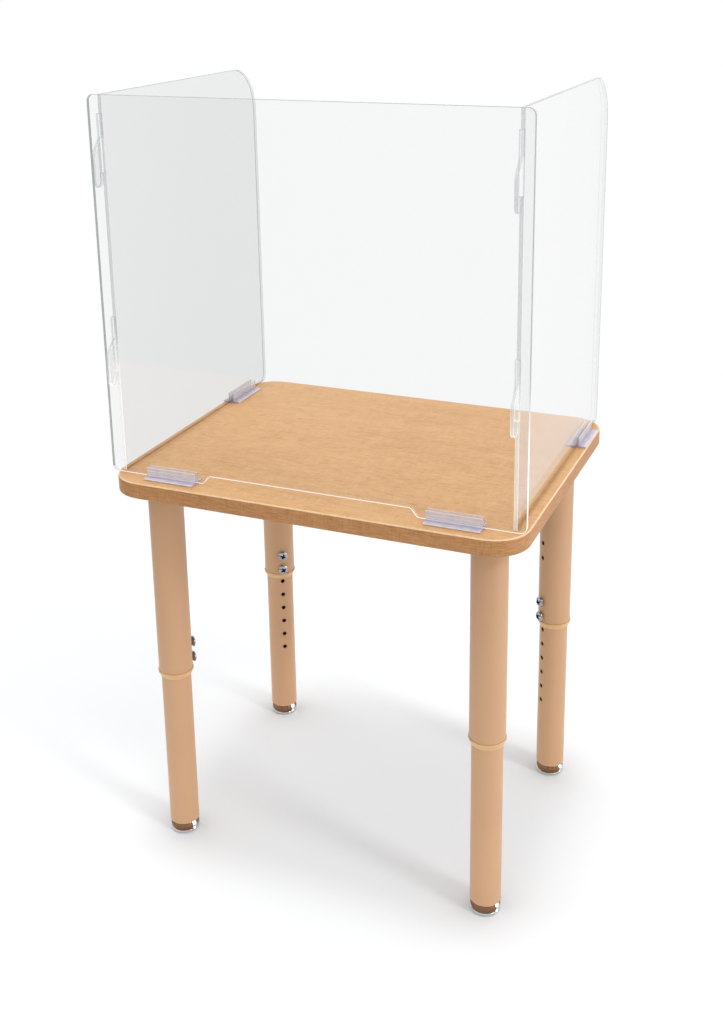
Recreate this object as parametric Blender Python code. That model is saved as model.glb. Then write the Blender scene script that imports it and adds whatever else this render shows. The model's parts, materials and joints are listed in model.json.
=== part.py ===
"""Child-size study carrel: a height-adjustable table that carries a clear three-panel privacy screen.

Z is up and the origin is on the floor under the middle of the table top. The child sits on the -Y side and
faces +Y, so "left" is -X, "right" is +X, and the closed back of the screen is on the +Y side.
"""

import math

import bmesh
import bpy
from mathutils import Matrix, Vector

MM = 0.001
GAP = 0.3 * MM  # running gap between pieces that touch

# Table top
TABLE_W = 609.6 * MM
TABLE_D = 482.6 * MM
TABLE_H = 603.2 * MM
TOP_T = 24.0 * MM
CORNER_R = 50.8 * MM
BAND_T = 3.0 * MM
BAND_ARRIS_R = 2.4 * MM
LAMINATE_T = 1.2 * MM
BACKER_T = 0.8 * MM
TOP_UNDER_Z = TABLE_H - TOP_T

# Legs
LEG_X = 246.0 * MM
LEG_Y = 177.0 * MM
HOLE_AZIMUTH = math.radians(51.0)  # of the hole rows, from the X axis towards the middle of the table
TUBE_SIDES = 36
PLATE_HALF = 44.0 * MM
PLATE_CORNER_R = 12.0 * MM
PLATE_T = 3.0 * MM
PLATE_SCREW_OFFSET = 33.0 * MM
PLATE_Z = TOP_UNDER_Z - GAP - PLATE_T
UPPER_R = 25.4 * MM
UPPER_WALL = 1.9 * MM
UPPER_BOTTOM_Z = 281.0 * MM
UPPER_TOP_Z = PLATE_Z - GAP
LOWER_R = 22.225 * MM
LOWER_WALL = 1.65 * MM
LOWER_LEN = 304.8 * MM
LOWER_BOTTOM_Z = 18.0 * MM
HOLE_PITCH = 25.4 * MM
HOLE_R = 3.5 * MM
TOP_HOLE_Z = 315.5 * MM
LOWER_HOLES = 8
SPARE_HOLE_Z = TOP_HOLE_Z + 3 * HOLE_PITCH
COLLAR_R = 26.6 * MM
COLLAR_FLANGE_T = 3.5 * MM
COLLAR_CONE_H = 6.0 * MM
COLLAR_LIP_H = 4.8 * MM

# Glide and its threaded insert
STEM_R = 4.0 * MM
STEM_TOP_Z = 46.0 * MM
INSERT_H = 20.0 * MM
GLIDE_R = 21.9 * MM
GLIDE_SIDES = 32

# Screws
CLAMP_HEAD_R = 8.25 * MM
CLAMP_HEAD_H = 7.4 * MM
CLAMP_SHANK_R = 3.15 * MM
PLATE_HEAD_R = 4.4 * MM
PLATE_HEAD_H = 2.6 * MM
PLATE_SHANK_R = 2.1 * MM
PLATE_SHANK_L = 16.0 * MM

# Screen
PANEL_T = 5.0 * MM
PANEL_H = 533.3 * MM
REAR_W = 612.0 * MM
REAR_MID_Y = 213.5 * MM
REAR_CORNER_R = 9.5 * MM
SIDE_MID_X = 289.5 * MM
SIDE_FRONT_Y = -231.0 * MM
SIDE_TOP_R = 68.0 * MM
SIDE_FOOT_R = 11.0 * MM
PASS_HALF_W = 161.0 * MM
PASS_H = 12.0 * MM
PASS_RAMP = 14.0 * MM
SLOT_W = PANEL_T + 2 * GAP
SLOT_H = 79.0 * MM
SLOT_TOP_DROPS = (25.5 * MM, 304.5 * MM)  # of the slot tops, below the panel's top edge
HOOK_FREE = 31.0 * MM  # open length of slot above a seated hook
HOOK_REACH = 18.0 * MM
HOOK_SLOPE = 20.0 * MM
HOOK_DROP = 18.0 * MM
HOOK_TIP_R = 8.5 * MM
HOOK_SHOULDER_R = 16.0 * MM

# Clips that hold the screen on the table top
CLIP_L = 78.0 * MM
CLIP_BASE_HALF = 15.0 * MM
CLIP_BASE_T = 1.6 * MM
CLIP_WALL_T = 1.6 * MM
CLIP_H = 15.1 * MM
CLIP_FLARE = 0.8 * MM
PAD_T = 0.8 * MM
PAD_HALF = 13.5 * MM
PAD_Z = TABLE_H + GAP
CLIP_Z = PAD_Z + PAD_T + GAP
PANEL_Z = CLIP_Z + CLIP_BASE_T + GAP
REAR_CLIP_X = 209.5 * MM
SIDE_CLIP_Y = -148.0 * MM

CORNERS = {
    "rear_left": (-1, 1),
    "rear_right": (1, 1),
    "front_left": (-1, -1),
    "front_right": (1, -1),
}


def clear_scene():
    for obj in list(bpy.data.objects):
        bpy.data.objects.remove(obj, do_unlink=True)


def material(name, colour, metallic=0.0, roughness=0.5, alpha=1.0):
    mat = bpy.data.materials.new(name)
    mat.use_nodes = True
    shader = mat.node_tree.nodes["Principled BSDF"]
    shader.inputs["Base Color"].default_value = (*colour, 1.0)
    shader.inputs["Metallic"].default_value = metallic
    shader.inputs["Roughness"].default_value = roughness
    shader.inputs["Alpha"].default_value = alpha
    mat.diffuse_color = (*colour, alpha)
    return mat


def add_object(name, mesh, look, location=(0, 0, 0), rotation=(0, 0, 0)):
    obj = bpy.data.objects.new(name, mesh)
    bpy.context.scene.collection.objects.link(obj)
    obj.location = location
    obj.rotation_euler = rotation
    colour, metallic, roughness, alpha = look
    mesh.materials.append(material(name, colour, metallic, roughness, alpha))
    return obj


def mesh_from(name, verts, faces):
    mesh = bpy.data.meshes.new(name)
    mesh.from_pydata([tuple(v) for v in verts], [], faces)
    shape = bmesh.new()
    shape.from_mesh(mesh)
    bmesh.ops.recalc_face_normals(shape, faces=shape.faces)
    shape.to_mesh(mesh)
    shape.free()
    return mesh


def prism(name, outline, low, high, to_world=None):
    """Extrudes a plane outline between two heights. to_world turns (a, b, height) into x, y, z."""
    place = to_world or (lambda a, b, h: (a, b, h))
    count = len(outline)
    verts = [place(a, b, low) for a, b in outline] + [place(a, b, high) for a, b in outline]
    sides = [(i, (i + 1) % count, count + (i + 1) % count, count + i) for i in range(count)]
    faces = [tuple(range(count)), tuple(range(count, 2 * count))] + sides
    return mesh_from(name, verts, faces)


def revolve(name, profile, sides):
    """Turns a closed (radius, height) profile about Z. A profile point on the axis becomes one vertex."""
    verts = []
    rings = []
    for radius, height in profile:
        if radius == 0:
            rings.append([len(verts)] * sides)
            verts.append((0, 0, height))
            continue
        rings.append(list(range(len(verts), len(verts) + sides)))
        for k in range(sides):
            angle = 2 * math.pi * k / sides
            verts.append((radius * math.cos(angle), radius * math.sin(angle), height))
    faces = []
    for ring, following in zip(rings, rings[1:] + rings[:1]):
        for k in range(sides):
            corner = [ring[k], ring[(k + 1) % sides], following[(k + 1) % sides], following[k]]
            corner = [v for i, v in enumerate(corner) if v not in corner[:i]]
            if len(corner) > 2:
                faces.append(tuple(corner))
    return mesh_from(name, verts, faces)


def arc(centre, radius, start, end, steps):
    turn = (end - start) / steps
    return [
        (centre[0] + radius * math.cos(start + turn * i), centre[1] + radius * math.sin(start + turn * i))
        for i in range(steps + 1)
    ]


def rounded(points, step=math.radians(9)):
    """An outline from (x, y, fillet radius) corners, each fillet drawn with short chords."""
    outline = []
    count = len(points)
    for i, (x, y, radius) in enumerate(points):
        here = Vector((x, y))
        if radius == 0:
            outline.append((x, y))
            continue
        back = (Vector(points[i - 1][:2]) - here).normalized()
        ahead = (Vector(points[(i + 1) % count][:2]) - here).normalized()
        half = math.acos(max(-1.0, min(1.0, back.dot(ahead)))) / 2
        centre = here + (back + ahead).normalized() * radius / math.sin(half)
        first = here + back * radius / math.tan(half) - centre
        last = here + ahead * radius / math.tan(half) - centre
        start = math.atan2(first.y, first.x)
        sweep = math.atan2(last.y, last.x) - start
        sweep = (sweep + math.pi) % (2 * math.pi) - math.pi
        steps = max(2, math.ceil(abs(sweep) / step))
        outline += arc(centre, radius, start, start + sweep, steps)
    return outline


def rounded_rectangle(half_x, half_y, radius, steps=10):
    outline = []
    for quarter, (sx, sy) in enumerate(((1, 1), (-1, 1), (-1, -1), (1, -1))):
        centre = (sx * (half_x - radius), sy * (half_y - radius))
        outline += arc(centre, radius, quarter * math.pi / 2, (quarter + 1) * math.pi / 2, steps)
    return outline


def box(low, high):
    (x0, y0, z0), (x1, y1, z1) = low, high
    outline = [(x0, y0), (x1, y0), (x1, y1), (x0, y1)]
    return outline, z0, z1


def merged(name, meshes):
    """One mesh that holds several separate closed shapes, for a cutter."""
    shape = bmesh.new()
    for mesh in meshes:
        shape.from_mesh(mesh)
    whole = bpy.data.meshes.new(name)
    shape.to_mesh(whole)
    shape.free()
    return whole


def rod(name, radius, start, end, sides=14):
    """A cylinder between two points."""
    start, end = Vector(start), Vector(end)
    mesh = revolve(name, [(0, 0), (radius, 0), (radius, (end - start).length), (0, (end - start).length)], sides)
    turn = (end - start).to_track_quat("Z", "Y").to_matrix().to_4x4()
    mesh.transform(Matrix.Translation(start) @ turn)
    return mesh


def cut(target, cutter_mesh):
    """Takes the cutter's shape away from the target with a live Boolean."""
    cutter = bpy.data.objects.new(cutter_mesh.name, cutter_mesh)
    bpy.context.scene.collection.objects.link(cutter)
    cutter.matrix_world = target.matrix_basis
    cutter.hide_render = True
    cutter.display_type = "WIRE"
    modifier = target.modifiers.new("cut", "BOOLEAN")
    modifier.operation = "DIFFERENCE"
    modifier.solver = "EXACT"
    modifier.object = cutter


WOOD = ((0.62, 0.43, 0.27), 0.0, 0.45, 1.0)
BAND_LOOK = ((0.48, 0.29, 0.17), 0.0, 0.5, 1.0)
CORE_LOOK = ((0.52, 0.38, 0.24), 0.0, 0.9, 1.0)
BACKER_LOOK = ((0.20, 0.15, 0.11), 0.0, 0.8, 1.0)
TUBE_LOOK = ((0.60, 0.39, 0.24), 0.0, 0.4, 1.0)
COLLAR_LOOK = ((0.68, 0.42, 0.19), 0.0, 0.45, 1.0)
STEEL_LOOK = ((0.60, 0.60, 0.62), 1.0, 0.25, 1.0)
INSERT_LOOK = ((0.05, 0.05, 0.05), 0.0, 0.5, 1.0)
ACRYLIC_LOOK = ((0.90, 0.93, 0.95), 0.0, 0.05, 0.3)
CLIP_LOOK = ((0.80, 0.78, 0.88), 0.0, 0.2, 0.5)
PAD_LOOK = ((0.85, 0.85, 0.85), 0.0, 0.6, 0.8)


def plate_screw_places():
    """Each mounting-plate screw's name and place. The plate's outer corner has none."""
    places = []
    for corner, (sx, sy) in CORNERS.items():
        offsets = ((-sx, -sy), (-sx, sy), (sx, -sy))
        for number, (ox, oy) in enumerate(offsets, 1):
            x = sx * LEG_X + ox * PLATE_SCREW_OFFSET
            y = sy * LEG_Y + oy * PLATE_SCREW_OFFSET
            places.append((f"plate_screw_{corner}_{number}", x, y))
    return places


def plate_screw_holes(name):
    low = PLATE_Z - GAP
    high = low + PLATE_SHANK_L + GAP
    radius = PLATE_SHANK_R + GAP
    return merged(name, [rod(name, radius, (x, y, low), (x, y, high), 12) for _, x, y in plate_screw_places()])


def make_edge_band():
    """The closed band round the top, with softly rounded outer edges, drawn as nested rounded rectangles."""
    top, under, r = TABLE_H, TOP_UNDER_Z, BAND_ARRIS_R
    upper = [(r - r * math.cos(a), top - r + r * math.sin(a)) for a in (0, 0.4, 0.8, 1.2, math.pi / 2)]
    lower = [(r - r * math.cos(a), under + r - r * math.sin(a)) for a in (math.pi / 2, 1.2, 0.8, 0.4, 0)]
    profile = lower + upper + [(BAND_T, top), (BAND_T, under)]
    steps = 10
    verts = []
    for inset, height in profile:
        loop = rounded_rectangle(TABLE_W / 2 - inset, TABLE_D / 2 - inset, CORNER_R - inset, steps)
        verts += [(x, y, height) for x, y in loop]
    count = 4 * (steps + 1)
    faces = []
    for p in range(len(profile)):
        this, following = p * count, (p + 1) % len(profile) * count
        for k in range(count):
            faces.append((this + k, this + (k + 1) % count, following + (k + 1) % count, following + k))
    add_object("edge_band", mesh_from("edge_band", verts, faces), BAND_LOOK)


def make_top():
    inset = BAND_T + GAP
    plan = rounded_rectangle(TABLE_W / 2 - inset, TABLE_D / 2 - inset, CORNER_R - inset, 8)
    laminate_z = TABLE_H - LAMINATE_T
    core_z = TOP_UNDER_Z + BACKER_T + GAP
    add_object("top_laminate", prism("top_laminate", plan, laminate_z, TABLE_H), WOOD)
    core = add_object("top_core", prism("top_core", plan, core_z, laminate_z - GAP), CORE_LOOK)
    cut(core, plate_screw_holes("core_holes"))
    backer_top = TOP_UNDER_Z + BACKER_T
    backer = add_object("top_backer", prism("top_backer", plan, TOP_UNDER_Z, backer_top), BACKER_LOOK)
    cut(backer, plate_screw_holes("backer_holes"))
    make_edge_band()


def screw_mesh(name, head_r, head_h, shank_r, shank_l, sides):
    """A pan-head screw along Z: the head stands up from height 0 and the shank runs down."""
    profile = [
        (0, -shank_l),
        (shank_r, -shank_l),
        (shank_r, 0),
        (head_r, 0),
        (head_r, head_h * 0.42),
        (head_r * 0.93, head_h * 0.70),
        (head_r * 0.76, head_h * 0.90),
        (head_r * 0.45, head_h),
        (0, head_h),
    ]
    return revolve(name, profile, sides)


def cross_recess(name, head_r, head_h):
    """A tapered cross, for the driver recess of a screw head."""
    long, wide = head_r * 0.52, head_r * 0.15
    cross = [
        (wide, wide),
        (wide, long),
        (-wide, long),
        (-wide, wide),
        (-long, wide),
        (-long, -wide),
        (-wide, -wide),
        (-wide, -long),
        (wide, -long),
        (wide, -wide),
        (long, -wide),
        (long, wide),
    ]
    low, high = head_h * 0.42, head_h + MM
    verts = [(x * 0.6, y * 0.6, low) for x, y in cross] + [(x, y, high) for x, y in cross]
    sides = [(i, (i + 1) % 12, 12 + (i + 1) % 12, 12 + i) for i in range(12)]
    return mesh_from(name, verts, [tuple(range(12)), tuple(range(12, 24))] + sides)


def make_plate_screws():
    for name, x, y in plate_screw_places():
        mesh = screw_mesh(name, PLATE_HEAD_R, PLATE_HEAD_H, PLATE_SHANK_R, PLATE_SHANK_L, 12)
        screw = add_object(name, mesh, STEEL_LOOK, (x, y, PLATE_Z - GAP), (math.pi, 0, 0))
        cut(screw, cross_recess(f"{name}_recess", PLATE_HEAD_R, PLATE_HEAD_H))


def make_plate(corner, x, y):
    name = f"mounting_plate_{corner}"
    plan = rounded_rectangle(PLATE_HALF, PLATE_HALF, PLATE_CORNER_R, 5)
    plan = [(x + a, y + b) for a, b in plan]
    plate = add_object(name, prism(name, plan, PLATE_Z, PLATE_Z + PLATE_T), TUBE_LOOK)
    cut(plate, plate_screw_holes(f"{name}_holes"))


def ring_profile(outer, inner, low, high):
    return [(inner, low), (outer, low), (outer, high), (inner, high)]


def row_of_holes(name, outer, heights):
    """Cutters through one side of a tube, on its local +X side."""
    rods = [rod(name, HOLE_R, (outer - 8 * MM, 0, z), (outer + 5 * MM, 0, z)) for z in heights]
    return merged(name, rods)


def make_upper_tube(corner, x, y, turn):
    name = f"upper_tube_{corner}"
    profile = ring_profile(UPPER_R, UPPER_R - UPPER_WALL, UPPER_BOTTOM_Z, UPPER_TOP_Z)
    tube = add_object(name, revolve(name, profile, TUBE_SIDES), TUBE_LOOK, (x, y, 0), (0, 0, turn))
    heights = (TOP_HOLE_Z - HOLE_PITCH, TOP_HOLE_Z, SPARE_HOLE_Z, SPARE_HOLE_Z + HOLE_PITCH)
    cut(tube, row_of_holes(f"{name}_holes", UPPER_R, heights))


def make_collar(corner, x, y, turn):
    name = f"collar_{corner}"
    bore = LOWER_R + GAP
    seat = UPPER_BOTTOM_Z - GAP
    flange = seat - COLLAR_FLANGE_T
    tip = flange - COLLAR_CONE_H
    lip = UPPER_R - UPPER_WALL - GAP
    profile = [
        (bore, tip + 0.2 * MM),
        (bore + 0.5 * MM, tip),
        (COLLAR_R - 1.0 * MM, flange - 0.6 * MM),
        (COLLAR_R, flange + 0.4 * MM),
        (COLLAR_R, seat - 0.5 * MM),
        (COLLAR_R - 0.5 * MM, seat),
        (lip, seat),
        (lip, seat + COLLAR_LIP_H),
        (bore, seat + COLLAR_LIP_H),
    ]
    add_object(name, revolve(name, profile, TUBE_SIDES), COLLAR_LOOK, (x, y, 0), (0, 0, turn))


def make_lower_tube(corner, x, y, turn):
    name = f"lower_tube_{corner}"
    top = LOWER_BOTTOM_Z + LOWER_LEN
    profile = ring_profile(LOWER_R, LOWER_R - LOWER_WALL, LOWER_BOTTOM_Z, top)
    tube = add_object(name, revolve(name, profile, TUBE_SIDES), TUBE_LOOK, (x, y, 0), (0, 0, turn))
    heights = [TOP_HOLE_Z - k * HOLE_PITCH for k in range(LOWER_HOLES)]
    cut(tube, row_of_holes(f"{name}_holes", LOWER_R, heights))


def make_insert(corner, x, y):
    name = f"leg_insert_{corner}"
    outer = LOWER_R - LOWER_WALL - GAP
    profile = ring_profile(outer, STEM_R + GAP, LOWER_BOTTOM_Z, LOWER_BOTTOM_Z + INSERT_H)
    add_object(name, revolve(name, profile, TUBE_SIDES), INSERT_LOOK, (x, y, 0))


def make_glide(corner, x, y):
    name = f"glide_{corner}"
    top = LOWER_BOTTOM_Z - 0.4 * MM
    profile = [
        (0, 0),
        (19.0 * MM, 0),
        (19.7 * MM, 0.5 * MM),
        (19.7 * MM, 1.7 * MM),
        (21.2 * MM, 2.1 * MM),
        (GLIDE_R, 3.4 * MM),
        (GLIDE_R, 10.5 * MM),
        (21.4 * MM, 12.6 * MM),
        (19.8 * MM, 14.9 * MM),
        (16.5 * MM, 16.6 * MM),
        (12.0 * MM, top),
        (STEM_R, top),
        (STEM_R, STEM_TOP_Z),
        (0, STEM_TOP_Z),
    ]
    add_object(name, revolve(name, profile, GLIDE_SIDES), STEEL_LOOK, (x, y, 0))


def make_clamp_screws(corner, x, y, turn):
    """The two locking screws, whose shanks stop short of the sliding lower tube."""
    seat = UPPER_R + GAP
    shank = seat - LOWER_R - GAP
    for number, z in enumerate((TOP_HOLE_Z - HOLE_PITCH, TOP_HOLE_Z), 1):
        name = f"clamp_screw_{corner}_{number}"
        mesh = screw_mesh(name, CLAMP_HEAD_R, CLAMP_HEAD_H, CLAMP_SHANK_R, shank, 20)
        place = (x + seat * math.cos(turn), y + seat * math.sin(turn), z)
        screw = add_object(name, mesh, STEEL_LOOK, place, (0, math.pi / 2, turn))
        cut(screw, cross_recess(f"{name}_recess", CLAMP_HEAD_R, CLAMP_HEAD_H))


def make_legs():
    for corner, (sx, sy) in CORNERS.items():
        x, y = sx * LEG_X, sy * LEG_Y
        turn = math.atan2(-sy * math.sin(HOLE_AZIMUTH), -sx * math.cos(HOLE_AZIMUTH))
        make_plate(corner, x, y)
        make_upper_tube(corner, x, y, turn)
        make_collar(corner, x, y, turn)
        make_clamp_screws(corner, x, y, turn)
        make_lower_tube(corner, x, y, turn)
        make_insert(corner, x, y)
        make_glide(corner, x, y)


def pass_through(side):
    """The S-shaped ramp of the raised bottom edge, from the foot inwards, on the side given by its sign."""
    steps = 10
    ramp = []
    for i in range(steps + 1):
        share = i / steps
        x = PASS_HALF_W - PASS_RAMP * share
        ramp.append((side * x, PASS_H * (0.5 - 0.5 * math.cos(math.pi * share))))
    return ramp


def rear_outline():
    """The closed back panel, from the bottom left corner round, with the paper pass-through in its foot."""
    half, r = REAR_W / 2, REAR_CORNER_R
    outline = arc((-half + r, PANEL_H - r), r, math.pi, math.pi / 2, 8)
    outline += arc((half - r, PANEL_H - r), r, math.pi / 2, 0, 8)
    outline += arc((half - r, r), r, 0, -math.pi / 2, 8)
    outline += pass_through(1)
    outline += pass_through(-1)[::-1]
    outline += arc((-half + r, r), r, -math.pi / 2, -math.pi, 8)
    return outline


def make_rear_panel():
    half = PANEL_T / 2
    mesh = prism("rear_panel", rear_outline(), -half, half, lambda a, b, h: (a, h, b))
    panel = add_object("rear_panel", mesh, ACRYLIC_LOOK, (0, REAR_MID_Y, PANEL_Z))
    slots = []
    for side in (-1, 1):
        for drop in SLOT_TOP_DROPS:
            x, top = side * SIDE_MID_X, PANEL_H - drop
            low = (x - SLOT_W / 2, -PANEL_T, top - SLOT_H)
            high = (x + SLOT_W / 2, PANEL_T, top)
            slots.append(prism("slot", *box(low, high)))
    cut(panel, merged("rear_panel_slots", slots))


def hook_outline(slot_top):
    """One hook, from the underside of its neck round the tongue to the neck's top, as filleted corners."""
    face = PANEL_T / 2 + GAP
    reach = PANEL_T / 2 + HOOK_REACH
    seat = slot_top - SLOT_H + GAP
    neck = slot_top - HOOK_FREE
    tip = seat - HOOK_DROP
    return [
        (-face, seat, 0),
        (face, seat, 0),
        (face, tip, HOOK_TIP_R),
        (reach, tip, HOOK_TIP_R),
        (reach, neck - HOOK_SLOPE, HOOK_SHOULDER_R),
        (face, neck, 2 * MM),
        (-face, neck, 0),
    ]


def side_outline():
    """A side panel in (y, z) from the middle of the rear panel's thickness, going up its rear edge first."""
    face = PANEL_T / 2 + GAP
    front = SIDE_FRONT_Y - REAR_MID_Y
    corners = [(-face, 0, 1.0 * MM)]
    for drop in reversed(SLOT_TOP_DROPS):
        corners += hook_outline(PANEL_H - drop)
    corners += [
        (-face, PANEL_H, 1.5 * MM),
        (front, PANEL_H, SIDE_TOP_R),
        (front, 0, SIDE_FOOT_R),
    ]
    return rounded(corners)


def make_side_panels():
    half = PANEL_T / 2
    for name, side in (("left_panel", -1), ("right_panel", 1)):
        mesh = prism(name, side_outline(), -half, half, lambda a, b, h: (h, a, b))
        add_object(name, mesh, ACRYLIC_LOOK, (side * SIDE_MID_X, REAR_MID_Y, PANEL_Z))


def clip_outline():
    """Cross-section of a clip: a flat base and two ribbed walls that flare at the mouth."""
    inner = PANEL_T / 2 + GAP
    outer = inner + CLIP_WALL_T
    base, top = CLIP_BASE_T, CLIP_H
    rib = 0.5 * MM
    half = [(CLIP_BASE_HALF, 0), (CLIP_BASE_HALF, base * 0.5), (CLIP_BASE_HALF - 1.2 * MM, base)]
    half += [(outer + 1.2 * MM, base), (outer, base + 1.2 * MM)]
    for z in (5.0 * MM, 8.6 * MM):
        half += [(outer, z), (outer + rib, z + 0.4 * MM), (outer + rib, z + 0.9 * MM), (outer, z + 1.3 * MM)]
    half += [(outer, top - 2.6 * MM), (outer + CLIP_FLARE, top)]
    half += [(inner + CLIP_FLARE, top), (inner, top - 2.2 * MM), (inner, base)]
    return half + [(-d, z) for d, z in reversed(half)]


def make_clip(suffix, x, y, turn):
    half = CLIP_L / 2
    name = f"clip_{suffix}"
    mesh = prism(name, clip_outline(), -half, half, lambda a, b, h: (h, a, b))
    add_object(name, mesh, CLIP_LOOK, (x, y, CLIP_Z), (0, 0, turn))
    name = f"adhesive_pad_{suffix}"
    pad = prism(name, *box((-half, -PAD_HALF, 0), (half, PAD_HALF, PAD_T)))
    add_object(name, pad, PAD_LOOK, (x, y, PAD_Z), (0, 0, turn))


def make_clips():
    make_clip("rear_left", -REAR_CLIP_X, REAR_MID_Y, 0)
    make_clip("rear_right", REAR_CLIP_X, REAR_MID_Y, 0)
    make_clip("side_left", -SIDE_MID_X, SIDE_CLIP_Y, math.pi / 2)
    make_clip("side_right", SIDE_MID_X, SIDE_CLIP_Y, math.pi / 2)


def main():
    clear_scene()
    make_top()
    make_legs()
    make_plate_screws()
    make_rear_panel()
    make_side_panels()
    make_clips()


main()
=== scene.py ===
"""Looks of the study carrel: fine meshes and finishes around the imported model.

A pale floor, soft light and the photograph's camera stand round it.
"""

import json
import math

import bmesh
import bpy
from mathutils import Matrix, Vector


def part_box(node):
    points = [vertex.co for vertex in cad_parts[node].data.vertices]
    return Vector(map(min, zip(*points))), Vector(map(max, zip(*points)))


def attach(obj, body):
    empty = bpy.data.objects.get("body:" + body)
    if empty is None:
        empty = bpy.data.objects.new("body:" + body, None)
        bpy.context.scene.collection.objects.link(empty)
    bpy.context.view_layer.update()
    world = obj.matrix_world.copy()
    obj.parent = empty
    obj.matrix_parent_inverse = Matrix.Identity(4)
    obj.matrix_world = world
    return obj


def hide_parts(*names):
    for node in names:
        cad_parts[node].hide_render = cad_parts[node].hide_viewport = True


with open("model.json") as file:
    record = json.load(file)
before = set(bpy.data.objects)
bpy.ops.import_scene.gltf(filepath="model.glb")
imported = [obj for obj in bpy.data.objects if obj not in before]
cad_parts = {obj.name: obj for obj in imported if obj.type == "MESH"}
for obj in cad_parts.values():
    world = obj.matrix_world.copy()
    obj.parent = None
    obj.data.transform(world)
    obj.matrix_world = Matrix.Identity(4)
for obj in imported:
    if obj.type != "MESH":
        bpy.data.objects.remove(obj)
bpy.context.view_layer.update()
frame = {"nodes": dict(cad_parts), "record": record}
nodes = frame["nodes"]

MM = 0.001
CORNERS = ("rear_left", "rear_right", "front_left", "front_right")
TAU = 2 * math.pi


# --- Node trees -------------------------------------------------------------------------------------------------


def srgb(r, g, b):
    """Linear colour from 0..255 display values."""
    out = []
    for v in (r, g, b):
        v /= 255
        out.append(v / 12.92 if v <= 0.04045 else ((v + 0.055) / 1.055) ** 2.4)
    return (*out, 1.0)


class Tree:
    """Short calls for building a node tree. An input's value may be another node's output."""

    def __init__(self, owner):
        self.nodes = owner.node_tree.nodes
        self.links = owner.node_tree.links
        self.nodes.clear()

    def add(self, kind, inputs=None, **props):
        node = self.nodes.new(kind)
        for key, value in props.items():
            setattr(node, key, value)
        for key, value in (inputs or {}).items():
            if isinstance(value, bpy.types.NodeSocket):
                self.links.new(value, node.inputs[key])
            else:
                node.inputs[key].default_value = value
        return node

    def place(self):
        """The spot on the mesh, in metres."""
        return self.add("ShaderNodeTexCoord").outputs["Object"]

    def maths(self, operation, a, b=0.0):
        return self.add("ShaderNodeMath", {0: a, 1: b}, operation=operation).outputs[0]

    def span(self, value, low, high, to_low=0.0, to_high=1.0, smooth=False):
        kind = "SMOOTHSTEP" if smooth else "LINEAR"
        inputs = {"Value": value, "From Min": low, "From Max": high, "To Min": to_low, "To Max": to_high}
        return self.add("ShaderNodeMapRange", inputs, interpolation_type=kind, clamp=True).outputs[0]

    def stretched(self, coordinate, scale):
        return self.add("ShaderNodeMapping", {"Vector": coordinate, "Scale": scale}).outputs[0]

    def noise(self, coordinate, scale=1.0, detail=3.0, roughness=0.5, distortion=0.0):
        inputs = {"Vector": coordinate, "Scale": scale, "Detail": detail}
        inputs |= {"Roughness": roughness, "Distortion": distortion}
        return self.add("ShaderNodeTexNoise", inputs).outputs["Fac"]

    def blend(self, factor, a, b):
        node = self.add("ShaderNodeMix", data_type="RGBA")
        for key, value in ((0, factor), (6, a), (7, b)):
            if isinstance(value, bpy.types.NodeSocket):
                self.links.new(value, node.inputs[key])
            else:
                node.inputs[key].default_value = value
        return node.outputs[2]

    def bump(self, height, strength, distance):
        inputs = {"Height": height, "Strength": strength, "Distance": distance}
        return self.add("ShaderNodeBump", inputs).outputs[0]

    def mix(self, factor, a, b):
        return self.add("ShaderNodeMixShader", {0: factor, 1: a.outputs[0], 2: b.outputs[0]})

    def output(self, shader, kind="ShaderNodeOutputMaterial"):
        out = self.add(kind)
        self.links.new(shader.outputs[0], out.inputs["Surface"])


def new_material(name):
    mat = bpy.data.materials.new(name)
    mat.use_nodes = True
    return mat, Tree(mat)


# --- Materials --------------------------------------------------------------------------------------------------
# A noise scale is in cycles per metre. A bump's distance is in metres.


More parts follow.
